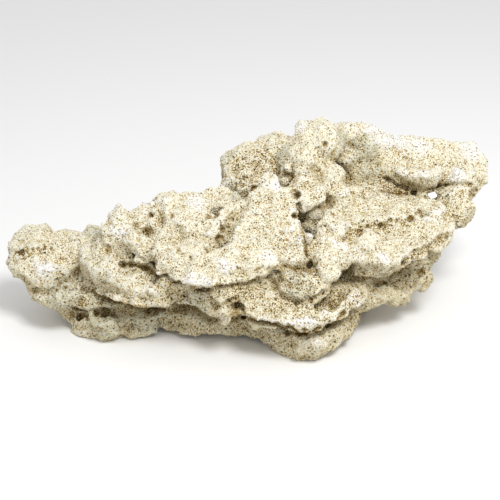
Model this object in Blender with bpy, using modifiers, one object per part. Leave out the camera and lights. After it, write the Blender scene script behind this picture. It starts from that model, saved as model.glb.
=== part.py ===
# A dry reef rock for an aquascape: one loose piece of old reef limestone, built of
# overhanging ledges that were laid down one on another and then eaten out by the sea.
# Its long side runs along X, the viewer's side is -Y, and it stands on Z = 0.

import math

import bmesh
import bpy
from mathutils import Euler, Matrix, Vector, noise

MM = 0.001

# Driving dimensions, in millimetres.
GRAIN = 1.6  # spacing of the mesh points while the rock is shaped
CUTTER_GRAIN = 1.0  # the same for the shapes that are cut out
LEDGE_ROUNDING = 1.5  # how far a ledge's broken edge is rounded over
TRIANGLES = 9600  # faces that the finished solid may have
SLAB_CALM = 0.55  # how much less rough the bowl and the back slab are than the rest
SLAB = (0.6, 0.4, 0.03)  # size of the block that levels the underside, in metres

NAME = "reef_rock"

# The ledges. Each has the outline of its broken edge seen from above, the height of its
# middle at the edge nearest the viewer, its thickness, and how much it climbs towards the
# back (rise) and towards the right (lean), in mm per mm.
LEDGES = {
    "bed": dict(
        height=11, thickness=14, rise=0.0, lean=0.0,
        outline=[(-56, -37), (-40, -45), (-22, -50), (-3, -47), (10, -57), (24, -70), (36, -75),
                 (48, -69), (56, -61), (66, -47), (73, -28), (84, 0), (82, 24), (66, 48),
                 (36, 62), (0, 64), (-34, 54), (-62, 38), (-74, 8), (-68, -20)],
    ),
    "left_foot": dict(
        height=10, thickness=12, rise=0.05, lean=0.0,
        outline=[(-56, -34), (-60, -41), (-70, -45), (-79, -43), (-88, -51), (-99, -49),
                 (-108, -40), (-119, -33), (-128, -25), (-134, -6), (-118, 12), (-92, 22),
                 (-62, 10)],
    ),
    "left_shelf": dict(
        height=26, thickness=12, rise=0.05, lean=0.0,
        outline=[(-146, -20), (-142, -33), (-130, -40), (-108, -41), (-84, -38), (-62, -34),
                 (-40, 0), (-66, 26), (-104, 28), (-132, 12)],
    ),
    "second_left": dict(
        height=37, thickness=16, rise=0.22, lean=0.0,
        outline=[(-108, -14), (-111, -22), (-102, -37), (-92, -47), (-82, -54), (-69, -59),
                 (-56, -59), (-43, -55), (-33, -58), (-24, -61), (-12, -56), (-4, -30),
                 (-8, -4), (-40, 0), (-84, -8), (-100, -10)],
    ),
    "second_right": dict(
        height=31, thickness=11, rise=0.08, lean=0.0,
        outline=[(-38, -50), (-24, -66), (-13, -64), (-4, -70), (11, -75), (22, -78), (32, -81),
                 (42, -78), (48, -70), (56, -65), (64, -55), (72, -42), (82, -28), (92, -10),
                 (98, 10), (84, 30), (40, 40), (0, 36), (-36, 10)],
    ),
    "right_foot": dict(
        height=20, thickness=13, rise=0.12, lean=0.06,
        outline=[(66, -46), (78, -38), (90, -29), (99, -23), (108, -23), (115, -24), (119, -10),
                 (120, 12), (116, 40), (100, 58), (78, 44), (62, 0)],
    ),
    "main_left": dict(
        height=59, thickness=10, rise=0.36, lean=0.10,
        outline=[(-98, -24), (-91, -33), (-82, -34), (-73, -42), (-63, -47), (-54, -58),
                 (-42, -65), (-28, -70), (-14, -66), (-4, -40), (-6, -6), (-18, 6), (-38, 2),
                 (-60, 2), (-73, -6), (-84, -8), (-96, -14)],
    ),
    "main_middle": dict(
        height=50, thickness=14, rise=0.62, lean=0.03,
        outline=[(-24, -68), (-12, -67), (-3, -61), (8, -58), (16, -55), (24, -57), (31, -51),
                 (36, -42), (33, -34), (30, -22), (24, -12), (18, -3), (13, 3), (4, -4),
                 (-6, -16), (-14, -28), (-22, -44)],
    ),
    "main_right": dict(
        height=61, thickness=10, rise=0.16, lean=-0.06,
        outline=[(42, -36), (48, -48), (56, -47), (62, -42), (70, -43), (78, -48), (86, -51),
                 (93, -46), (101, -41), (109, -33), (120, -24), (129, -12), (133, -2), (129, 8),
                 (112, 10), (92, 12), (72, 12), (54, 10), (44, -4), (40, -18)],
    ),
    "right_step": dict(
        height=74, thickness=10, rise=0.12, lean=-0.07,
        outline=[(42, -10), (46, -22), (54, -24), (63, -21), (72, -17), (84, -18), (96, -14),
                 (106, -10), (116, -12), (124, -2), (126, 12), (104, 18), (80, 18), (56, 16),
                 (42, 6)],
    ),
    "back_slab": dict(
        height=78, thickness=12, rise=0.90, lean=-0.02,
        outline=[(84, 40), (96, 36), (110, 33), (124, 35), (136, 38), (147, 37), (156, 33),
                 (161, 38), (159, 48), (150, 55), (130, 57), (108, 56), (86, 54), (72, 53),
                 (70, 47)],
    ),
    "back_slab_lip": dict(
        height=82, thickness=10, rise=0.10, lean=0.0,
        outline=[(84, 46), (92, 36), (101, 28), (111, 24), (121, 25), (129, 34), (134, 48),
                 (120, 60), (96, 62)],
    ),
    "rear_shelf": dict(
        height=46, thickness=12, rise=-0.05, lean=0.03,
        outline=[(-66, 10), (-30, 4), (20, 10), (70, 10), (108, 10), (118, 34), (110, 56),
                 (84, 70), (40, 76), (2, 74), (-38, 60), (-66, 40)],
    ),
    "rear_cap": dict(
        height=64, thickness=14, rise=0.0, lean=0.06,
        outline=[(-20, 14), (10, 6), (60, 16), (112, 20), (126, 44), (108, 62), (70, 66),
                 (30, 62), (-4, 58), (-20, 40)],
    ),
}

# Rounded masses: centre, half-sizes, and turn about X, Y and Z in degrees.
LUMPS = {
    "core_left": ((-76, -2, 28), (44, 28, 24), (0, 0, 0)),
    "core_left_high": ((-58, -12, 58), (30, 20, 12), (18, 0, 0)),
    "core_middle": ((-4, 2, 34), (58, 46, 34), (0, 0, 0)),
    "core_right": ((60, 6, 40), (42, 38, 26), (0, 0, 0)),
    "core_top": ((40, 18, 60), (66, 32, 24), (0, 0, 0)),
    "core_back": ((70, 46, 76), (60, 16, 20), (0, 0, 0)),
    "left_knob_end": ((-143, -6, 50), (18, 18, 11), (0, 0, 0)),
    "left_knob_end_low": ((-143, -14, 40), (17, 17, 10), (0, 0, 0)),
    "left_knob": ((-122, -3, 43), (20, 18, 13), (0, 0, 0)),
    "left_knob_belly": ((-132, -18, 36), (20, 17, 13), (0, 0, 20)),
    "left_back_knob": ((-104, 10, 46), (10, 10, 10), (0, 0, 0)),
    "plate_hump": ((-58, -4, 78), (11, 10, 6), (0, 0, 0)),
    "plate_hump_left": ((-86, -10, 73), (9, 9, 6), (0, 0, 0)),
    "plate_hump_right": ((-34, -4, 79), (15, 8, 6), (0, 0, 0)),
    "plate_step": ((-66, -26, 68), (20, 14, 7), (20, 0, 12)),
    "plate_mound_high": ((-41, -25, 74), (14, 10, 6), (20, 0, -10)),
    "plate_mound_low": ((-50, -48, 65), (15, 8, 6), (20, 0, -15)),
    "plate_mound_left": ((-83, -19, 72), (10, 8, 6), (20, 0, 20)),
    "nodule": ((32, -52, 44.5), (18, 13, 11), (0, 0, 0)),
    "tongue": ((49.5, -38, 66), (11, 26, 8.5), (33, 0, 0)),
    "tongue_root": ((55, -29, 67), (17, 16, 9), (28, 0, 0)),
    "plate_saddle": ((64, -31, 63), (17, 17, 8), (18, 0, -20)),
    "right_under_lip": ((80, -34, 49), (16, 12, 7), (0, 0, 0)),
    "left_shoulder": ((-90, -26, 52), (14, 20, 9), (32, 0, 0)),
    "second_left_back": ((-84, -36, 50), (24, 12, 6), (0, 0, -25)),
    "middle_face": ((-4, -50, 41), (42, 13, 9), (0, 0, 0)),
    "second_right_back": ((60, -44, 33), (16, 14, 8), (0, 0, 0)),
    "drip_left": ((-17, -66, 31), (4, 5, 6), (0, 0, 0)),
    "drip_right": ((1, -69, 29), (5, 6, 6), (0, 0, 0)),
    "ridge_top": ((44, 32, 106.5), (18, 20, 15), (0, 0, 0)),
    "ridge_middle": ((34, 22, 100), (16, 18, 12), (0, 0, 0)),
    "ridge_knob": ((35, -1, 89), (11, 13, 11), (0, 0, 0)),
    "ridge_right": ((52, 11, 88), (7, 13, 12), (0, 0, -25)),
    "ridge_right_foot": ((58, 0, 80), (8, 9, 8), (0, 0, 0)),
    "back_left": ((-1, 36, 85), (20, 22, 18), (0, 0, 0)),
    "back_left_foot": ((-5, 25, 78), (16, 18, 17), (0, 0, 0)),
    "saddle": ((20, 42, 91), (20, 22, 16), (0, 0, 0)),
    "saddle_front": ((22, 17, 84), (9, 9, 10), (0, 0, 0)),
    "bowl_shoulder": ((66, 44, 98), (22, 12, 17), (0, 0, 0)),
    "bowl_wall": ((70, 52, 88), (34, 14, 24), (0, 0, 0)),
    "slab_middle": ((98, 53, 86), (28, 12, 17), (0, 0, 0)),
    "slab_back": ((124, 51, 82), (32, 13, 16), (0, 2, 0)),
    "slab_end": ((147, 46, 83), (13, 10, 12), (0, 0, 0)),
    "flank_low": ((109, 2, 42), (17, 22, 15), (0, 0, 0)),
    "flank_middle": ((137, 24, 63), (13, 18, 15), (0, 0, 0)),
    "flank_high": ((143, 38, 76), (13, 16, 14), (0, 0, 0)),
    "right_foot_knob": ((110, -15, 28), (10, 12, 9), (0, 0, 0)),
    "right_foot_toe": ((96, -22, 23), (12, 12, 8), (0, 0, 0)),
    "right_foot_inner": ((83, -30, 29), (9, 11, 8), (0, 0, 0)),
    "rear_knob": ((-72, 26, 44), (24, 18, 14), (0, 0, 20)),
    "rear_boss": ((26, 60, 50), (26, 16, 20), (0, 0, 0)),
    "rear_low": ((78, 46, 30), (22, 20, 22), (0, 0, 0)),
    "rear_rib": ((100, 58, 66), (9, 10, 22), (0, 20, 0)),
    "pad_front": ((28, -58, 3), (20, 10, 8), (0, 0, -25)),
    "pad_front_side": ((42, -50, 3), (11, 14, 7), (0, 0, 20)),
    "pad_left": ((-100, -35, 3), (19, 11, 8), (0, 0, -10)),
    "pad_left_side": ((-77, -37, 5), (12, 9, 8), (0, 0, 0)),
    "pad_right": ((60, 26, 3), (14, 22, 9), (0, 0, 35)),
    "pad_right_side": ((50, 12, 3), (12, 10, 7), (0, 0, 0)),
    "pad_back": ((-36, 40, 3), (24, 12, 8), (0, 0, -15)),
    "pad_back_side": ((-20, 30, 3), (10, 15, 7), (0, 0, 0)),
}

# Broad hollows that the sea cut out before the skin weathered, in the same form.
HOLLOWS = {
    "bowl": ((92, 6, 105), (24, 31, 31), (0, 0, 0)),
    "tongue_side": ((64, -42, 69), (4, 18, 7), (30, 0, 0)),
    "bowl_crease": ((105, 22, 75.5), (22, 12, 4), (0, 0, 0)),
    "knob_notch": ((-104, -8, 59), (4, 16, 9), (0, 0, -35)),
    "plate_valley": ((-17, -33, 79), (7.5, 27, 9), (24, 0, -36)),
    "plate_dip_left": ((-69, -27, 80), (8, 9, 11), (0, 0, 0)),
    "plate_dip_right": ((-23, -14, 88), (9, 8, 10), (0, 0, 0)),
    "nodule_gap": ((48, -56, 36), (13, 12, 3.2), (0, -23, 0)),
    "rear_cave": ((-14, 72, 36), (20, 14, 8), (0, 0, 0)),
    "rear_cave_small": ((66, 74, 58), (13, 12, 7), (0, 0, 0)),
}

# Crevices, holes and pits that are still sharp, in the same form.
CREVICES = {
    "gap_left": ((112.7, 44, 63.3), (3.6, 60, 2.4), (-25, 0, -8.5)),
    "gap_right": ((125.2, 44, 62.5), (4.2, 60, 2.4), (-25, 0, -9.5)),
    "knob_crease": ((-130, -26, 52), (20, 12, 1.9), (0, 3, 0)),
    "middle_crevice": ((33, -42, 72), (1.2, 15, 7), (40, 0, 23)),
    "middle_hole": ((31, -16, 79), (2.6, 6, 4), (0, 0, 0)),
    "ridge_crevice": ((31, -8, 84), (3, 7, 2.4), (0, 0, 0)),
    "lip_crevice": ((38, -58, 57), (4, 6, 2.4), (0, 0, 0)),
    "step_crack": ((90, -16, 69), (15, 4, 1.6), (0, -8, 12)),
    "step_crack_end": ((74, -19, 67), (3.5, 5, 3), (0, 0, 0)),
    "drip_pocket": ((-8, -66, 24), (6, 12, 9), (0, 0, 0)),
    "foot_hole": ((-112, -40, 16.5), (6.5, 16, 3.2), (0, 0, 0)),
    "foot_hole_right": ((-96, -48, 19.5), (8, 14, 3), (0, 0, 0)),
    "foot_hole_small": ((-66, -54, 23), (7, 12, 3), (0, 0, 0)),
    "hole_in_valley": ((-17.5, -42, 75), (4, 4, 12), (0, 0, 0)),
    "hole_brown": ((-22.5, -14, 76), (5, 3.5, 8), (0, 0, 0)),
    "pit_plate_left": ((-66, -26, 74), (3.5, 3.5, 12), (0, 0, 0)),
    "pit_plate_back": ((-65, -4, 77), (3.2, 3.2, 12), (0, 0, 0)),
    "pit_plate_lip": ((-95, -29, 61), (2.6, 2.6, 4), (0, 0, 0)),
    "pit_knob": ((-148, -26, 52), (4, 10, 4), (0, 0, 0)),
    "pit_right": ((44, -24, 76), (3.5, 4.5, 13), (0, 0, 0)),
    "pit_step": ((111, -4, 75), (5, 3.5, 12), (0, 0, 0)),
    "pit_ridge": ((50, 30, 106), (3.5, 9, 3.5), (0, 0, 0)),
    "hole_under_lip": ((-78, -46, 54), (9, 8, 3.5), (0, 0, -20)),
}


def clear_scene():
    for old in list(bpy.data.objects):
        bpy.data.objects.remove(old)


def new_collection(name):
    collection = bpy.data.collections.new(name)
    bpy.context.scene.collection.children.link(collection)
    return collection


def mesh_of(obj):
    """The evaluated mesh of an object, which is then removed."""
    graph = bpy.context.evaluated_depsgraph_get()
    mesh = bpy.data.meshes.new_from_object(obj.evaluated_get(graph))
    bpy.data.objects.remove(obj)
    return mesh


def ledge_mesh(height, thickness, rise, lean, outline):
    """A closed plate with a rounded edge, laid on its sloping plane."""
    curve = bpy.data.curves.new("ledge", "CURVE")
    curve.dimensions = "2D"
    curve.fill_mode = "BOTH"
    curve.resolution_u = 3
    curve.extrude = (thickness / 2 - LEDGE_ROUNDING) * MM
    curve.bevel_depth = LEDGE_ROUNDING * MM
    curve.bevel_resolution = 1
    curve.offset = -LEDGE_ROUNDING * MM
    spline = curve.splines.new("BEZIER")
    spline.bezier_points.add(len(outline) - 1)
    spline.use_cyclic_u = True
    for point, (x, y) in zip(spline.bezier_points, outline):
        point.co = (x * MM, y * MM, 0)
        point.handle_left_type = point.handle_right_type = "AUTO"
    obj = bpy.data.objects.new("ledge", curve)
    bpy.context.scene.collection.objects.link(obj)
    mesh = mesh_of(obj)
    front = min(y for _, y in outline) * MM
    for vertex in mesh.vertices:
        vertex.co.z += height * MM + rise * (vertex.co.y - front) + lean * vertex.co.x
    return mesh


def add_ellipsoid(shape, place, radii, turn, steps=3):
    """An icosphere, stretched to its half-sizes, turned and put in place."""
    matrix = (
        Matrix.Translation(Vector(place) * MM)
        @ Euler([math.radians(a) for a in turn]).to_matrix().to_4x4()
        @ Matrix.Diagonal((*(Vector(radii) * MM), 1))
    )
    bmesh.ops.create_icosphere(shape, subdivisions=steps, radius=1, matrix=matrix)


def object_of(name, shape, collection):
    mesh = bpy.data.meshes.new(name)
    shape.to_mesh(mesh)
    shape.free()
    obj = bpy.data.objects.new(name, mesh)
    collection.objects.link(obj)
    return obj


def apply_modifiers(obj):
    graph = bpy.context.evaluated_depsgraph_get()
    done = bpy.data.meshes.new_from_object(obj.evaluated_get(graph))
    obj.modifiers.clear()
    obj.data = done


def fuse(obj, spacing):
    """Joins everything that overlaps into one skin of evenly spaced points."""
    remesh = obj.modifiers.new("fuse", "REMESH")
    remesh.mode = "VOXEL"
    remesh.voxel_size = spacing * MM
    apply_modifiers(obj)


def cut_out(obj, name, hollows, collection):
    """Takes a set of hollows out of the rock."""
    shape = bmesh.new()
    for place, radii, turn in hollows.values():
        add_ellipsoid(shape, place, radii, turn)
    cutter = object_of(name, shape, collection)
    fuse(cutter, CUTTER_GRAIN)
    cutter.hide_render = True
    cutter.display_type = "WIRE"
    cut = obj.modifiers.new(name, "BOOLEAN")
    cut.object = cutter
    apply_modifiers(obj)
    fuse(obj, GRAIN)


def keep_largest_shell(obj):
    """Removes the skins of sealed hollows and loose crumbs."""
    shape = bmesh.new()
    shape.from_mesh(obj.data)
    left = set(shape.verts)
    shells = []
    while left:
        shell, edge = set(), [left.pop()]
        while edge:
            vertex = edge.pop()
            shell.add(vertex)
            for link in vertex.link_edges:
                other = link.other_vert(vertex)
                if other in left:
                    left.remove(other)
                    edge.append(other)
        shells.append(shell)
    shells.sort(key=len)
    for shell in shells[:-1]:
        bmesh.ops.delete(shape, geom=list(shell), context="VERTS")
    shape.to_mesh(obj.data)
    shape.free()


def relief(point):
    """How far the weathered skin stands out or in at a point, in millimetres."""
    broad = 3.2 * noise.fractal(point / 20, 1.0, 2.0, 2)
    beds = 1.4 * noise.noise(Vector((point.x / 50, point.y / 50, point.z / 6.5)))
    knobs = 2.4 * noise.noise(point / 7)
    nearest = noise.voronoi(point / 14)[0][0]
    pit = -3.0 * max(0.0, 1 - nearest / 0.35) ** 1.5
    rough = broad + beds + knobs + pit
    to_slab = min(1.0, max(0.0, (point.x - 62) / 20)) * min(1.0, max(0.0, (point.z - 68) / 14))
    return rough * (1 - SLAB_CALM * to_slab)


def weather(obj):
    mesh = obj.data
    moves = [vertex.normal * relief(vertex.co / MM) * MM for vertex in mesh.vertices]
    for vertex, move in zip(mesh.vertices, moves):
        vertex.co += move


def limestone():
    material = bpy.data.materials.new("dry_limestone")
    material.use_nodes = True
    surface = material.node_tree.nodes["Principled BSDF"]
    surface.inputs["Base Color"].default_value = (0.72, 0.66, 0.50, 1)
    surface.inputs["Roughness"].default_value = 0.95
    surface.inputs["Metallic"].default_value = 0.0
    return material


def level(obj, collection):
    """Cuts the underside flat at Z = 0, so that the rock rests on its lowest pads."""
    shape = bmesh.new()
    bmesh.ops.create_cube(shape, size=1, matrix=Matrix.Diagonal((*SLAB, 1)))
    slab = object_of("levelling_slab", shape, collection)
    slab.location.z = -SLAB[2] / 2
    slab.hide_render = True
    slab.display_type = "WIRE"
    cut = obj.modifiers.new("level_underside", "BOOLEAN")
    cut.object = slab
    apply_modifiers(obj)


def centre(obj):
    """Moves the rock so that the middle of its outline is on the Z axis."""
    xs = [vertex.co.x for vertex in obj.data.vertices]
    ys = [vertex.co.y for vertex in obj.data.vertices]
    middle = Vector((min(xs) + max(xs), min(ys) + max(ys), 0)) / 2
    obj.data.transform(Matrix.Translation(-middle))


def build():
    clear_scene()
    rocks = new_collection("reef_rock_parts")
    cutters = new_collection("cutters")

    body = bmesh.new()
    for ledge in LEDGES.values():
        body.from_mesh(ledge_mesh(**ledge))
    for place, radii, turn in LUMPS.values():
        add_ellipsoid(body, place, radii, turn)
    rock = object_of(NAME, body, rocks)
    fuse(rock, GRAIN)

    cut_out(rock, "hollows", HOLLOWS, cutters)
    weather(rock)
    fuse(rock, GRAIN)
    cut_out(rock, "crevices", CREVICES, cutters)
    keep_largest_shell(rock)

    thin = rock.modifiers.new("fewer_faces", "DECIMATE")
    thin.ratio = TRIANGLES / (2 * len(rock.data.polygons))
    thin.use_collapse_triangulate = True
    apply_modifiers(rock)
    level(rock, cutters)
    centre(rock)

    rock.data.materials.clear()
    rock.data.materials.append(limestone())


build()
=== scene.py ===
import math

import bpy
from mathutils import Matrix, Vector
from mathutils.kdtree import KDTree


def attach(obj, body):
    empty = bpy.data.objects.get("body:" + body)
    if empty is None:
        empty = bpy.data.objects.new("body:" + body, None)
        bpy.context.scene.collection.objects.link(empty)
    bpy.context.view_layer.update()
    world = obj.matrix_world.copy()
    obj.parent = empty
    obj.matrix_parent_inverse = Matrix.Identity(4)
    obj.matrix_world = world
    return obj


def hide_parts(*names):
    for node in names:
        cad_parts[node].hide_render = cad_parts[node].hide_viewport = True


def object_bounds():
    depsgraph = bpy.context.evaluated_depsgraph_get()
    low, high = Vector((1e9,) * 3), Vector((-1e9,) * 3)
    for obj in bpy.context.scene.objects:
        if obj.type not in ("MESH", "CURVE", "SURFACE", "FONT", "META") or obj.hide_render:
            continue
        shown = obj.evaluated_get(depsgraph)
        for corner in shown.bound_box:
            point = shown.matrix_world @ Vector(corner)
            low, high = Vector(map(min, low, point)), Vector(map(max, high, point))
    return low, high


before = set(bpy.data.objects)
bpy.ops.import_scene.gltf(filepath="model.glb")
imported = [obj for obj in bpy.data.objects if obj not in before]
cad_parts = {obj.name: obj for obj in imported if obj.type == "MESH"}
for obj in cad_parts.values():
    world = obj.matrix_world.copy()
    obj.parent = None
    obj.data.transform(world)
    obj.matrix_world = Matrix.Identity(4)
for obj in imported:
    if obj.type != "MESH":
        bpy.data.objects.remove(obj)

solid_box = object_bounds()


# The rock, one piece of old reef limestone: coral sand and shell grit that set hard on
# the sea bed in layers, broken off along them, and eaten out by water and boring animals.
# It is the solid's own shape, drawn finer, with its skin weathered and its holes bored.
MM = 0.001
PER_MM = 1000
MERGE = 0.01 * MM
FINE_GRAIN = 1.0 * MM  # of the mesh that is dented and bored
FINEST_GRAIN = 0.85 * MM  # of the mesh after its weathering
SKIN_FACES = 194000
CRISPNESS = 0.6  # how much further edges stand out, and creases fall in, than on the solid
CHIP = 0.75  # radius of the largest grit on the skin, in mm


class Wire:
    """A node's socket. Sums and products of wires add the Math nodes that they need."""

    def __init__(self, socket):
        self.socket = socket

    @property
    def tree(self):
        return self.socket.id_data

    @classmethod
    def node(cls, tree, kind, settings=(), sockets=(), out=0):
        """Adds a node: its settings first, then the values or wires of its sockets."""
        made = tree.nodes.new(kind)
        for name, value in dict(settings).items():
            setattr(made, name, value)
        for name, value in dict(sockets).items():
            if isinstance(value, Wire):
                tree.links.new(value.socket, made.inputs[name])
            else:
                made.inputs[name].default_value = value
        return cls(made.outputs[out])

    def maths(self, operation, *others):
        settings = {"operation": operation}
        return self.node(self.tree, "ShaderNodeMath", settings, enumerate((self, *others)))

    def __add__(self, other):
        return self.maths("ADD", other)

    def __mul__(self, other):
        return self.maths("MULTIPLY", other)

    def __sub__(self, other):
        return self.maths("SUBTRACT", other)

    def __rsub__(self, other):
        return (self * -1) + other

    def __truediv__(self, other):
        return self.maths("DIVIDE", other)

    __radd__ = __add__
    __rmul__ = __mul__

    def between(self, low, high):
        """0 below low, 1 above high and a smooth slope between them."""
        settings = {"interpolation_type": "SMOOTHSTEP"}
        sockets = {"Value": self, "From Min": low, "From Max": high}
        return self.node(self.tree, "ShaderNodeMapRange", settings, sockets)

    def vector(self, operation, *others, out=0):
        """Vector Math on a place or a direction."""
        settings = {"operation": operation}
        return self.node(self.tree, "ShaderNodeVectorMath", settings,
                         enumerate((self, *others)), out)

    def scaled(self, amount):
        """A direction, made longer or shorter by a value or wire."""
        settings = {"operation": "SCALE"}
        return self.node(self.tree, "ShaderNodeVectorMath", settings, {0: self, "Scale": amount})

    def evened(self, times, kind="FLOAT"):
        """A value on the mesh, evened out with those around it a number of times."""
        return self.node(self.tree, "GeometryNodeBlurAttribute", {"data_type": kind},
                         {"Value": self, "Iterations": times})

    def noise(self, size, detail, offset=0.0):
        """Cloudy noise about a place, from -1 to 1, in lumps of a size in millimetres."""
        place = self.vector("ADD", (offset,) * 3)
        sockets = {"Vector": place, "Scale": 1 / size, "Detail": detail, "Roughness": 0.55}
        return self.node(self.tree, "ShaderNodeTexNoise", (), sockets) * 2 - 1

    def cells(self, size):
        """Distance to the nearest of many scattered points, in cell widths."""
        sockets = {"Vector": self, "Scale": 1 / size, "Randomness": 1.0}
        return self.node(self.tree, "ShaderNodeTexVoronoi", (), sockets, "Distance")


def only(piece):
    """Selects one piece and nothing else."""
    bpy.ops.object.select_all(action="DESELECT")
    piece.select_set(True)
    bpy.context.view_layer.objects.active = piece


def finish_with(piece, kind, **settings):
    """Adds a modifier to a piece and applies it."""
    only(piece)
    modifier = piece.modifiers.new(kind.lower(), kind)
    for name, value in settings.items():
        setattr(modifier, name, value)
    bpy.ops.object.modifier_apply(modifier=modifier.name)


def open_tree(name):
    """Starts a tree of Geometry Nodes, and gives it with the shape that comes in."""
    tree = bpy.data.node_groups.new(name, "GeometryNodeTree")
    for in_out in ("INPUT", "OUTPUT"):
        tree.interface.new_socket("Geometry", in_out=in_out, socket_type="NodeSocketGeometry")
    return tree, Wire(tree.nodes.new("NodeGroupInput").outputs[0])


def run_tree(piece, tree, shape):
    """Lets a shape out of its tree, and applies the tree to a piece."""
    tree.links.new(shape.socket, tree.nodes.new("NodeGroupOutput").inputs[0])
    finish_with(piece, "NODES", node_group=tree)


rock_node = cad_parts["reef_rock"]
rock = rock_node.copy()
rock.data = rock_node.data.copy()
rock.name = rock.data.name = "reef_rock_skin"
rock.parent = None
bpy.context.scene.collection.objects.link(rock)
only(rock)
bpy.ops.object.mode_set(mode="EDIT")
bpy.ops.mesh.select_all(action="SELECT")
bpy.ops.mesh.remove_doubles(threshold=MERGE)
bpy.ops.object.mode_set(mode="OBJECT")
finish_with(rock, "REMESH", mode="VOXEL", voxel_size=FINE_GRAIN)
finish_with(rock, "SMOOTH", factor=0.5, iterations=3)

# The camera looks at the rock from the front and a little from above. What stands at one
# place on the rock is given by its pixel in the photograph, and lies where the line of
# sight through that pixel meets the rock. The size of each place is in mm.
FRAME = 500  # pixels along each side of the photograph
LENS, SENSOR = 85, 36
RISE = math.radians(28)
AIM = Vector((-1.5, -5.1, 45.7)) * MM
AHEAD = Vector((0, math.cos(RISE), -math.sin(RISE)))
UPWARD = Vector((0, math.sin(RISE), math.cos(RISE)))
STAND_OFF = 0.78
EYE = AIM - STAND_OFF * AHEAD

# Dents, and swellings where the depth is below zero: pixel, radius and depth in mm.
DENTS = {
    "left_knob": [(24, 252, 4.0, -5.0)],
    "nodule": [(276, 275, 6.0, -9.0), (330, 296, 4.0, -3.0)],
    "main_lip_left": [
        (126, 250, 5.0, -5.0), (130, 252, 4.5, -7.0), (140, 262, 3.0, -3.0),
        (150, 268, 4.0, -5.5), (158, 274, 5.0, -6.5), (168, 280, 5.5, -6.5),
        (180, 285, 5.0, -4.5)],
    "ridge_foot": [(284, 181, 4.5, -4.5), (286, 168, 4.5, -3.5)],
    "crevice": [
        (306, 204, 8.0, -10.0), (313, 214, 7.0, -9.0), (318, 222, 6.0, -9.0),
        (307, 227, 6.0, -7.5), (303, 239, 4.0, -3.0), (317, 199, 7.0, -8.0),
        (324, 190, 4.0, -3.0)],
    "bowl": [
        (339, 158, 5.0, -5.0), (345, 160, 8.0, -6.5), (356, 168, 7.0, -3.5),
        (350, 140, 9.0, 2.5)],
}
# Valleys and seams, and swollen edges where the depth is below zero: the pixels that each
# runs through, its radius and its depth in mm.
VALLEYS = {
    "between_plates": ([(246, 200), (238, 212), (228, 228), (220, 242), (210, 252)], 3.2, 1.6),
    "left_plate": ([(158, 205), (160, 222), (152, 236), (143, 250)], 3.0, 1.8),
    "plate_middle": ([(165, 240), (180, 238), (196, 236), (212, 242)], 2.6, 1.4),
    "plate_end": ([(100, 238), (112, 240), (126, 236)], 2.4, 1.5),
    "right_plate": ([(314, 212), (321, 223), (330, 234), (342, 240)], 2.2, 2.0),
    "step_end": ([(346, 214), (352, 222), (362, 226)], 2.0, 1.6),
    "ridge_knob_seam": (
        [(287, 169), (296, 165), (307, 166), (318, 170), (323, 182), (325, 194)], 1.8, 1.2),
    "left_knob_seam": (
        [(33, 291), (45, 293), (54, 291), (59, 281), (72, 278), (78, 268)], 1.8, 2.5),
    "nodule_seam": (
        [(273, 281), (278, 292), (288, 299), (303, 302), (317, 298), (326, 291)], 1.7, 1.8),
    "right_recess": ([(445, 236), (432, 246), (418, 255), (404, 263)], 2.8, 4.0),
    "under_slab_lip": (
        [(385, 178), (400, 186), (412, 190), (425, 191), (436, 189), (446, 184), (460, 184),
         (474, 185)], 1.0, 2.4),
    "under_main_lip": (
        [(160, 277), (172, 282), (188, 287), (204, 289), (224, 287), (248, 283), (270, 276)],
        1.0, 2.6),
    "second_edge_left": (
        [(86, 283), (96, 290), (110, 296), (126, 301), (142, 304), (160, 304), (178, 305)],
        2.0, -2.2),
    "second_edge_right": (
        [(246, 312), (258, 317), (272, 319), (284, 322), (296, 326), (310, 328), (322, 324)],
        1.8, -1.8),
    "main_edge": (
        [(150, 264), (164, 273), (178, 278), (192, 282), (206, 284), (226, 282), (246, 279),
         (266, 272)], 1.8, -1.5),
}
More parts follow.
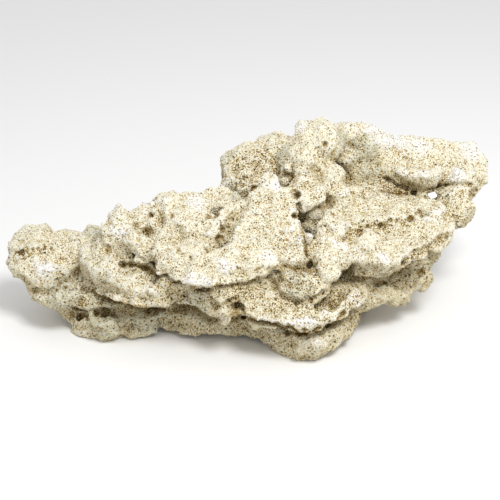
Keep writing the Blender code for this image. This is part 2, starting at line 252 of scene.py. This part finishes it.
# Bored and dissolved holes: pixel, radius and depth in mm.
HOLES = {
    "left_plate": [
        (150, 215, 1.8, 4), (136, 226, 2.0, 2.5), (146, 231, 2.0, 3.5), (138, 240, 1.6, 1.6),
        (107, 250, 2.4, 3), (172, 216, 1.8, 2)],
    "main_plate": [
        (215, 215, 2.0, 2.4), (209, 216, 1.3, 2), (222, 230, 1.8, 3), (220, 238, 2.0, 5.5),
        (207, 250, 1.4, 2.5), (178, 251, 1.2, 2), (265, 234, 1.2, 2), (281, 232, 1.3, 2),
        (266, 238, 1.0, 1.6), (287, 240, 1.0, 1.6)],
    "main_lip_end": [(124, 264, 1.8, 6)],
    "right_plate": [(420, 212, 2.2, 2.5), (344, 238, 1.4, 2.0), (334, 214, 1.4, 2.0)],
    "step": [
        (358, 231, 2.2, 3.5), (362, 229, 1.4, 2.5), (368, 226, 1.2, 2.5), (374, 225, 1.0, 1.8),
        (381, 227, 1.5, 2.5), (391, 220, 1.3, 3), (397, 221, 1.0, 2), (411, 218, 1.8, 2.5)],
    "left_knob": [
        (45, 247, 1.3, 2), (22, 240, 1.2, 2), (16, 253, 1.1, 2), (21, 252, 1.5, 2.5),
        (27, 250, 1.5, 2.5), (33, 250, 1.1, 2), (39, 248, 1.1, 1.6), (52, 249, 1.1, 1.6),
        (65, 287, 1.8, 2.5), (60, 283, 1.4, 2)],
    "foot": [
        (72, 315, 2.0, 3.5), (80, 315, 2.8, 6), (86, 317, 1.8, 4), (98, 313, 2.2, 4),
        (105, 313, 2.8, 6), (112, 314, 2.2, 4), (148, 310, 2.4, 5), (155, 312, 2.0, 3)],
    "drip_pocket": [(237, 312, 4.0, 9), (238, 313, 2.4, 9), (232, 315, 2.0, 4)],
    "crevice": [(296, 195, 2.2, 5), (293, 191, 1.4, 3), (295, 216, 1.5, 4)],
    "right_recess": [
        (404, 264, 2.0, 4), (418, 260, 1.6, 3), (384, 282, 2.0, 4), (378, 284, 1.8, 3),
        (421, 272, 2.0, 3)],
    "bed_front": [(288, 333, 1.4, 3), (293, 327, 1.2, 2), (305, 331, 1.6, 3)],
    "slab_lip": [(399, 192, 2.0, 3.5), (407, 193, 1.8, 4), (438, 187, 2.2, 4)],
    "ridge": [(325, 144, 1.4, 3.5), (253, 189, 1.8, 2.5), (245, 178, 1.3, 2)],
}
# Open cracks: the pixels that each runs through, its radius and its depth in mm.
CRACKS = {
    "crevice": ([(297, 217), (301, 222), (303, 232), (306, 245), (308, 257)], 0.9, 3.0),
    "main_lip_end": ([(122, 264), (135, 265), (146, 268), (153, 272), (160, 277)], 1.1, 3.5),
    "nodule_top": ([(284, 266), (294, 269), (304, 268), (310, 272)], 1.0, 1.6),
    "slab_foot": ([(380, 190), (392, 193), (408, 194)], 1.1, 2.5),
    "second_ledge_left": (
        [(92, 291), (104, 298), (120, 302), (136, 306), (152, 308), (166, 309)], 1.2, 4.5),
    "second_ledge_right": (
        [(244, 317), (256, 321), (270, 323), (281, 326), (292, 328), (300, 334), (311, 332),
         (320, 328), (334, 322), (346, 312)], 1.2, 4.2),
}


def every(places):
    """The spots of all places in one list."""
    return [spot for spots in places.values() for spot in spots]


def sight(across, down):
    """The way in which the camera looks at a pixel of its picture."""
    step = SENSOR / LENS / FRAME
    aside = Vector((1, 0, 0)) * (across - FRAME / 2) * step
    return (AHEAD + aside + UPWARD * (FRAME / 2 - down) * step).normalized()


PATH_STEP = 1.5  # pixels from one point of a path to the next


def along(path):
    """Points along a path of straight runs, a step apart."""
    for (x0, y0), (x1, y1) in zip(path, path[1:]):
        count = max(1, round(math.hypot(x1 - x0, y1 - y0) / PATH_STEP))
        for part in range(count):
            yield x0 + (x1 - x0) * part / count, y0 + (y1 - y0) * part / count


def skin_points():
    """The points of the rock's skin, sorted so that those near a place are found fast."""
    points = KDTree(len(rock.data.vertices))
    for vertex in rock.data.vertices:
        points.insert(vertex.co, vertex.index)
    points.balance()
    return points


RIM = 1.5  # how far a press reaches, in its radii, with its sloping rim


def press_in(places, paths):
    """Presses the skin in at each spot and along each path. The deepest press counts."""
    spots = every(places)
    spots += [(x, y, *size) for path, *size in paths.values() for x, y in along(path)]
    bpy.context.view_layer.update()
    hits = [(rock.ray_cast(EYE, sight(x, y)), sight(x, y), *size) for x, y, *size in spots]
    points = skin_points()
    moves = {}
    for (found, mouth, normal, face), way, radius, depth in hits:
        inward = (way - normal).normalized()
        reach = RIM * radius * MM
        for place, index, distance in points.find_range(mouth, reach) if found else ():
            move = inward * depth * MM * (1 - (distance / reach) ** 2)
            if move.length > moves.get(index, Vector()).length:
                moves[index] = move
    for index, move in moves.items():
        rock.data.vertices[index].co += move


press_in(DENTS, VALLEYS)
press_in(HOLES, CRACKS)

# The weathering: broad swellings, hard and soft layers that stand out and fall back, knobs
# of coral, a crust of cemented grit, and pits, most of them in patches. Depths are in mm.
relief, unworn = open_tree("weathering")
at = Wire.node(relief, "GeometryNodeInputPosition")
place = at.vector("MULTIPLY", (PER_MM,) * 3)
facing = Wire.node(relief, "GeometryNodeInputNormal")

FLATTENED = (0.15, 0.15, 1)
swelling = place.noise(13, 1) * 0.9
layers = place.vector("MULTIPLY", FLATTENED).noise(3.6, 1) * 0.8
knobs = (0.45 - place.cells(5.2)) * 0.6
crust = place.noise(6, 5, 90) * 2.5


def pits(place, size, radius, depth, patch_size, patch_low):
    """Round pits in patches: their spacing and radius, how deep, and how rare."""
    near = place.cells(size) * size
    patch = place.noise(patch_size, 1, 10 * size).between(patch_low, patch_low + 0.3)
    return (1 - near.between(radius * 0.45, radius)) * patch * -depth


edge = at.vector("SUBTRACT", at.evened(24, "FLOAT_VECTOR"))
on_edge = edge.vector("DOT_PRODUCT", facing, out="Value") / MM
jags = place.noise(4, 2, 33) * on_edge.between(0.3, 1.8) * 3.2
worn = swelling + layers + knobs + crust + jags - 0.5
worn = worn + pits(place, 8, 1.9, 2.6, 22, 0.05) + pits(place, 4.1, 1.2, 1.9, 15, -0.2)
crisp = edge.vector("MULTIPLY_ADD", (CRISPNESS,) * 3, at)
moved = crisp.vector("ADD", facing.scaled(worn * MM))
run_tree(rock, relief, Wire.node(relief, "GeometryNodeSetPosition", (),
                                 {"Geometry": unworn, "Position": moved}))
finish_with(rock, "REMESH", mode="VOXEL", voxel_size=FINEST_GRAIN)


def keep_inside(piece, margin=0.0):
    """Holds a piece within the solid's box, and off its sides by a margin."""
    low, high = (Vector(corner) for corner in solid_box)
    room = Vector((margin, margin, 0))
    low, high = low + room, high - room - Vector((0, 0, margin))
    for vertex in piece.data.vertices:
        vertex.co = [min(max(c, a), b) for c, a, b in zip(vertex.co, low, high)]


finish_with(rock, "DECIMATE", ratio=SKIN_FACES / (2 * len(rock.data.polygons)),
            use_collapse_triangulate=True)
keep_inside(rock, CHIP * MM)
only(rock)
bpy.ops.object.shade_smooth()

# What the colour follows: how far each place stands out of its surroundings, closely and
# broadly, in mm, how much of the sky the rock itself hides from it, and how it faces; the
# last two paint shade into the colour.
survey, skin = open_tree("survey")
here = Wire.node(survey, "GeometryNodeInputPosition")
outward = Wire.node(survey, "GeometryNodeInputNormal")


def stands_out(times):
    """How far a place stands out from the mean of those around it, in millimetres."""
    away = here.vector("SUBTRACT", here.evened(times, "FLOAT_VECTOR"))
    return away.vector("DOT_PRODUCT", outward, out="Value") / MM


# The parts of the sky that are looked for: how far round and how high, in degrees.
SKY = [(0, 90)] + [(turn, 55) for turn in range(0, 360, 72)] + [
    (turn, 20) for turn in range(20, 380, 60)]
SKY_REACH = 60 * MM
above = here.vector("ADD", outward.scaled(1.0 * MM))
hidden = 0.0
for turn, lift in SKY:
    turn, lift = math.radians(turn), math.radians(lift)
    ray = (math.cos(turn) * math.cos(lift), math.sin(turn) * math.cos(lift), math.sin(lift))
    hidden = hidden + Wire.node(
        survey, "GeometryNodeRaycast", (),
        {"Target Geometry": skin, "Source Position": above, "Ray Direction": ray,
         "Ray Length": SKY_REACH}) / len(SKY)
upright = Wire.node(survey, "ShaderNodeSeparateXYZ", (), {0: outward}, "Z")
surveyed = skin
for name, value in (("knob", stands_out(3)), ("lip", stands_out(40)),
                    ("shelter", hidden.evened(3)), ("skyward", upright.evened(6))):
    surveyed = Wire.node(survey, "GeometryNodeStoreNamedAttribute", (),
                         {"Geometry": surveyed, "Name": name, "Value": value})
run_tree(rock, survey, surveyed)

# Where water has stained the stone, and painted shade under the slab, the lips and the
# nodule and on the foot; where sun and rubbing have bleached it, and painted light on the
# right knobs, the lower ledges, the crevice and parts of the slab; and where a dull
# grey-green film has grown, with painted shade on the foot, the nodule and under the right
# lip: pixel and radius in mm.
STAINS_AND_SHADE = {
    "under_slab": [(374, 188, 9), (386, 182, 9), (396, 192, 12), (436, 190, 10)],
    "right_flank": [
        (462, 202, 15), (472, 192, 9), (452, 216, 11), (438, 196, 10), (455, 200, 10)],
    "ridge_left": [(240, 168, 18), (258, 180, 18), (262, 160, 16)],
    "nodule": [(300, 284, 16)],
    "under_nodule": [(278, 309, 9), (298, 310, 12), (330, 306, 12), (352, 300, 12)],
    "under_main_lip": [(235, 294, 9), (214, 289, 8), (148, 276, 8), (165, 284, 7), (140, 268, 8)],
    "left_knob": [(36, 249, 8), (50, 249, 7), (25, 251, 7)],
    "foot": [(110, 316, 7), (86, 317, 7), (84, 301, 14), (98, 304, 11)],
    "ridge_knobs": [(282, 186, 12), (308, 182, 12), (322, 190, 8)],
    "crevice": [(318, 222, 6)],
    "step": [(358, 230, 7), (370, 226, 7), (385, 223, 7), (408, 218, 9)],
    "right_recess": [(415, 256, 9), (430, 240, 8)],
    "main_plate": [(215, 216, 6)],
}
BLEACHED_AND_LIT = {
    "slab": [(380, 136, 14), (400, 142, 14), (420, 147, 10), (455, 176, 10), (470, 150, 12)],
    "main_lip": [(190, 281, 9), (204, 282, 8), (228, 266, 8), (268, 256, 8)],
    "right_lip": [(358, 258, 8), (384, 256, 7)],
    "plates": [(120, 232, 8), (196, 203, 10), (276, 186, 5), (312, 216, 8), (310, 230, 8)],
    "ridge_top": [(300, 128, 8)],
    "lower_ledges": [(200, 314, 8), (225, 322, 8), (300, 322, 8), (305, 344, 10)],
    "left_knob": [(45, 266, 11)],
    "right_knobs": [(410, 287, 10)],
}
FILM_AND_SHADE_PATCHES = {
    "foot": [
        (62, 292, 16), (74, 280, 10), (88, 300, 16), (75, 304, 14), (100, 304, 14),
        (110, 322, 18), (150, 322, 16), (196, 305, 12)],
    "plate_end": [(94, 232, 10)],
    "nodule": [(298, 275, 8), (300, 290, 12)],
    "under_right_lip": [(345, 274, 6), (365, 268, 6)],
    "ridge": [(238, 195, 8), (283, 150, 8), (225, 158, 8)],
    "bowl": [(342, 138, 12), (364, 150, 14), (372, 170, 12)],
}
CRACK_DARK_RIM = 1.3  # the width of a crack's dark rim of dirt and painted shadow, in widths of the crack


points = skin_points()


def patches(name, spots):
    """Stores 1 in the middle of each spot, and less towards its rim."""
    strength = [0.0] * len(rock.data.vertices)
    for x, y, radius in spots:
        found, middle, normal, face = rock.ray_cast(EYE, sight(x, y))
        for place, index, distance in points.find_range(middle, radius * MM) if found else ():
            strength[index] = max(strength[index], 1 - (distance / (radius * MM)) ** 2)
    rock.data.attributes.new(name, "FLOAT", "POINT").data.foreach_set("value", strength)


bpy.context.view_layer.update()
# Patches of stain with painted shade, of bleaching with painted light, and of film with painted
# shade.
patches("stain_and_shade", every(STAINS_AND_SHADE))
patches("bleach_and_light", every(BLEACHED_AND_LIT))
patches("film_and_shade", every(FILM_AND_SHADE_PATCHES))
# Dirt and painted shadow in the holes and along the cracks.
patches("hole_dirt_and_shadow", [(x, y, radius) for x, y, radius, depth in every(HOLES)] + [
    (x, y, CRACK_DARK_RIM * radius) for path, radius, depth in CRACKS.values()
    for x, y in along(path)])

# The stone's look: bleached cream, chalk white where lips have been rubbed and as painted
# light in some bleached patches, peppered with ochre and brown pores, tan painted shade in
# the shelter of the ledges and on faces turned down, browner where water has stained it and
# as painted shade where the rock hides the sky, dark dirt and painted shadow in its holes and
# cracks, and a dull grey-green film with painted shade in patches.
CREAM, CHALK, STRAW = (0.905, 0.865, 0.70, 1), (0.96, 0.95, 0.92, 1), (0.72, 0.63, 0.35, 1)
OCHRE, UMBER = (0.54, 0.35, 0.09, 1), (0.08, 0.046, 0.011, 1)
SHADE_TAN, FILM_AND_SHADE = (0.62, 0.55, 0.34, 1), (0.60, 0.60, 0.47, 1)


def limestone(name):
    """The material of the stone's skin and of the grit on it."""
    stone = bpy.data.materials.new(name)
    stone.use_nodes = True
    paint = stone.node_tree
    surface = paint.nodes["Principled BSDF"]
    spot = Wire.node(paint, "ShaderNodeTexCoord", (), (), "Object")
    spot = spot.vector("MULTIPLY", (PER_MM,) * 3)
    knob, lip, shelter, skyward, chip, stain_and_shade, bleach_and_light, film_and_shade, hole_dirt_and_shadow = (
        Wire.node(paint, "ShaderNodeAttribute", {"attribute_name": measure}, (), "Fac")
        for measure in ("knob", "lip", "shelter", "skyward", "chip", "stain_and_shade", "bleach_and_light", "film_and_shade",
                        "hole_dirt_and_shadow"))

    def blended(first, second, amount):
        return Wire.node(paint, "ShaderNodeMix", {"data_type": "RGBA"},
                         {0: amount, 6: first, 7: second}, 2)

    def pores(size, radius, patch):
        """1 in the middle of each pore of one size, and 0 outside them."""
        return (1 - (spot.cells(size) * size).between(radius * 0.45, radius)) * patch

    sand = spot.noise(0.7, 0, 5)
    speck = spot.noise(0.85, 0, 15)
    cloud = spot.noise(11, 2) + spot.noise(4, 1, 30) * 0.6
    # Partly real staining and partly painted shade: browner and darker where the rock hides the
    # sky.
    damp_and_shade = shelter * 0.9 + stain_and_shade * 0.8 + cloud * 0.12 - 0.15
    grime_and_shade = speck * 1.3 + sand * 0.7 - knob * 0.5 - lip * 0.04 + cloud * 0.02 + damp_and_shade * 0.4
    grime_and_shade = grime_and_shade - bleach_and_light * 0.3 - 0.05
    # Painted shade: greater where the rock hides the sky and where faces turn down.
    shade = shelter - skyward * 0.15 + film_and_shade * 0.2 + cloud * 0.1 - stain_and_shade * 0.2
    # Pores: more of them where the rock hides the sky, as painted shade, and on stained spots.
    pin_pores = pores(2.1, 0.66, (spot.noise(7, 1, 70) + damp_and_shade * 0.5 + 0.4).between(0.0, 0.5))
    deep_pores = pores(4.1, 0.95, (spot.noise(16, 1, 40) + damp_and_shade * 1.2).between(0.0, 0.5))
    bleached = spot.noise(26, 1, 55).between(-0.25, 0.35)
    white = lip * 0.3 * bleached + bleach_and_light + chip + sand * 0.4

    # Each coat: its pigment, and where it lies.
    coats = (
        # Chalk on rubbed lips, bleached patches and grit, with painted light in some of the
        # bleached patches.
        (CHALK, white.between(0.2, 1.1)),
        # Straw, and the ochre and umber below on the same mask: grain, pores and stains, and
        # painted shade where the rock hides the sky.
        (STRAW, grime_and_shade.between(-0.05, 0.4) * 0.8),
        # Painted shade: tan where the rock hides the sky and on faces turned down.
        (SHADE_TAN, shade.between(0.15, 0.65) * 0.8),
        # Grey-green film, and painted shade, in its patches.
        (FILM_AND_SHADE, (film_and_shade + cloud * 0.15).between(0.15, 0.7) * 0.6),
        (CHALK, (chip - speck * 1.5 - sand - 0.2).between(0.0, 0.8) * 0.45),
        (OCHRE, grime_and_shade.between(0.35, 0.6) * 0.95),
        (OCHRE, (chip * -1 - sand * 0.5).between(0.5, 0.9) * 0.8),
        (OCHRE, pin_pores * 0.95),
        (UMBER, (pin_pores + speck * 0.3 - bleach_and_light * 0.6).between(0.6, 1.0) * 0.6),
        (UMBER, (grime_and_shade - chip * 0.2).between(0.65, 0.85) * 0.95),
        (UMBER, deep_pores * 0.85),
        # Dirt and painted shadow in the holes and cracks.
        (OCHRE, (hole_dirt_and_shadow + speck * 0.6).between(0.1, 0.7) * 0.6),
        (UMBER, (hole_dirt_and_shadow + cloud * 0.5 + speck * 0.4).between(0.5, 1.2) * 0.9),
    )
    colour = CREAM
    for pigment, cover in coats:
        colour = blended(colour, pigment, cover)
    paint.links.new(colour.socket, surface.inputs["Base Color"])

    height = sand * 0.6 - speck * 0.3 - pin_pores - deep_pores * 1.5
    rough_skin = Wire.node(paint, "ShaderNodeBump", (),
                           {"Height": height, "Strength": 1.0, "Distance": 0.8 * MM})
    paint.links.new(rough_skin.socket, surface.inputs["Normal"])
    surface.inputs["Roughness"].default_value = 0.95
    surface.inputs["Specular IOR Level"].default_value = 0.2
    return stone


rock.data.materials.clear()
rock.data.materials.append(limestone("dry_limestone_crust"))

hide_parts("reef_rock")
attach(rock, "root")


# The grit: broken coral, shell and lime sand that is cemented all over the rock and makes
# it rough to the hand. Each chip is a small block, half sunk into the skin, and there are
# three sizes, each joined in one mesh. None lie under the rock or in its deepest hollows.
GRIT_SPACING = 2.3 * MM
GRIT_FLOOR = 3 * MM
DEEP_SHELTER = 0.93  # the share of the sky that is hidden from the deepest hollows


def chips_over(name, radius, seed):
    """Scatters chips of one size over the rock's skin, and joins them in one mesh."""
    tree, ground = open_tree(name)
    site = Wire.node(tree, "GeometryNodeInputPosition")
    level = Wire.node(tree, "ShaderNodeSeparateXYZ", (), {0: site}, "Z")
    shelter = Wire.node(tree, "GeometryNodeInputNamedAttribute", (), {"Name": "shelter"})
    open_there = (level.maths("GREATER_THAN", GRIT_FLOOR)
                  * shelter.maths("LESS_THAN", DEEP_SHELTER))
    dust = Wire.node(tree, "GeometryNodeDistributePointsOnFaces", (),
                     {"Mesh": ground, "Density": open_there / GRIT_SPACING ** 2, "Seed": seed})

    def drawn(kind, low, high, draw):
        """Values drawn at random for each chip."""
        out = {"FLOAT": 1, "FLOAT_VECTOR": 0}[kind]
        sockets = ({"Min": low, "Max": high} if kind == "FLOAT_VECTOR" else {2: low, 3: high})
        return Wire.node(tree, "FunctionNodeRandomValue", {"data_type": kind},
                         {**sockets, "Seed": seed + draw}, out)

    dust = Wire.node(tree, "GeometryNodeStoreNamedAttribute", (),
                     {"Geometry": dust, "Name": "chip", "Value": drawn("FLOAT", -1.0, 1.0, 1)})
    block = Wire.node(tree, "GeometryNodeMeshUVSphere", (),
                      {"Segments": 4, "Rings": 2, "Radius": radius * MM})
    strewn = Wire.node(tree, "GeometryNodeInstanceOnPoints", (),
                       {"Points": dust, "Instance": block,
                        "Rotation": drawn("FLOAT_VECTOR", (-3, -3, -3), (3, 3, 3), 2),
                        "Scale": drawn("FLOAT_VECTOR", (0.6, 0.6, 0.6), (1.2, 1.2, 1.2), 3)})
    joined = Wire.node(tree, "GeometryNodeRealizeInstances", (), {"Geometry": strewn})

    chips = rock.copy()
    chips.data = rock.data.copy()
    chips.name = chips.data.name = name
    bpy.context.scene.collection.objects.link(chips)
    run_tree(chips, tree, joined)
    keep_inside(chips)
    chips.data.materials.clear()
    chips.data.materials.append(limestone(name + "_lime"))
    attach(chips, "root")


chips_over("coral_grit", CHIP, 11)
chips_over("shell_grit", 0.8 * CHIP, 23)
chips_over("lime_grit", 0.65 * CHIP, 37)


# The table that the rock lies on for its picture: a pale sheet of board, and the soft
# light, the lamp and the camera of a small studio.
TABLE_WIDTH = 6
BOARD = (0.9, 0.9, 0.9, 1)
ROOM_LIGHT = 0.7
KEY_WATTS, KEY_WIDTH = 6.6, 0.3
KEY_PLACE = (0.27, -0.45, 0.88)

bpy.ops.object.select_all(action="DESELECT")
bpy.ops.mesh.primitive_plane_add(size=TABLE_WIDTH, location=(0, 0, 0))
table = bpy.context.object
table.name = "table"
board = bpy.data.materials.new("white_board")
board.use_nodes = True
board.node_tree.nodes["Principled BSDF"].inputs["Base Color"].default_value = BOARD
board.node_tree.nodes["Principled BSDF"].inputs["Roughness"].default_value = 0.9
table.data.materials.append(board)

scene = bpy.context.scene
scene.view_settings.view_transform = "Standard"
world = bpy.data.worlds.new("room")
world.use_nodes = True
world.node_tree.nodes["Background"].inputs["Color"].default_value = (1, 1, 1, 1)
world.node_tree.nodes["Background"].inputs["Strength"].default_value = ROOM_LIGHT
scene.world = world


def aimed(thing, place):
    """Puts a lamp or the camera in its place, turned towards the rock."""
    scene.collection.objects.link(thing)
    thing.location = place
    thing.rotation_mode = "QUATERNION"
    thing.rotation_quaternion = (AIM - Vector(place)).to_track_quat("-Z", "Y")


key = bpy.data.lights.new("key", "AREA")
key.energy = KEY_WATTS
key.size = KEY_WIDTH
aimed(bpy.data.objects.new("key", key), KEY_PLACE)

lens = bpy.data.cameras.new("camera")
lens.lens = LENS
lens.sensor_width = SENSOR
lens.clip_start = 0.01
camera = bpy.data.objects.new("camera", lens)
aimed(camera, EYE)
scene.camera = camera
